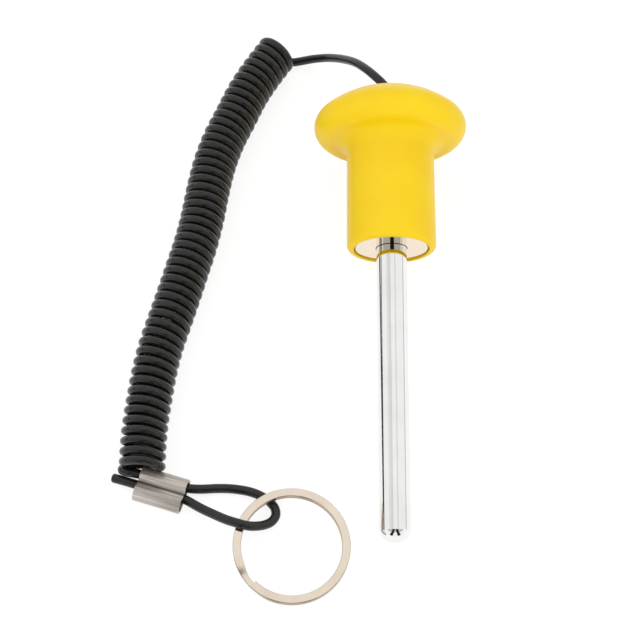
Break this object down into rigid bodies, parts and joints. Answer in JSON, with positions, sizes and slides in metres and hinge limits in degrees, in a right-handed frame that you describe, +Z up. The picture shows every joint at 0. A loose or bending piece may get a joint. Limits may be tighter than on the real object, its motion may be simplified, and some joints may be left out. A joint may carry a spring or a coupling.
{
  "type": "weight stack pin",
  "caption": "Magnetic weight stack selector pin with a mushroom knob, a straight steel shaft, a curly cord lead and a split ring.",
  "frame": {"origin": "middle of the pin's own box on the surface it lies on, cord, sleeve and ring left out", "axes": "+Y along the pin from its tip towards its knob, +Z up, the lead and split ring on the -X side"},
  "size_m": [0.1155, 0.2037, 0.0502],
  "materials": {
    "yellow_plastic": "satin gloss",
    "nickel_plate": "bright nickel plate",
    "polished_steel": "polished",
    "black_cord": "smooth gloss",
    "crimped_metal": "satin nickel plate",
    "ring_wire": "nickel plate"
  },
  "bodies": {
    "root": {"knob": "yellow_plastic", "magnet": "nickel_plate", "shaft": "polished_steel", "cord_stop": "crimped_metal", "cord_lead": "black_cord", "cord_coil": "black_cord", "cord_loop": "black_cord", "crimp_sleeve": "crimped_metal", "split_ring": "ring_wire"}
  },
  "joints": []
}
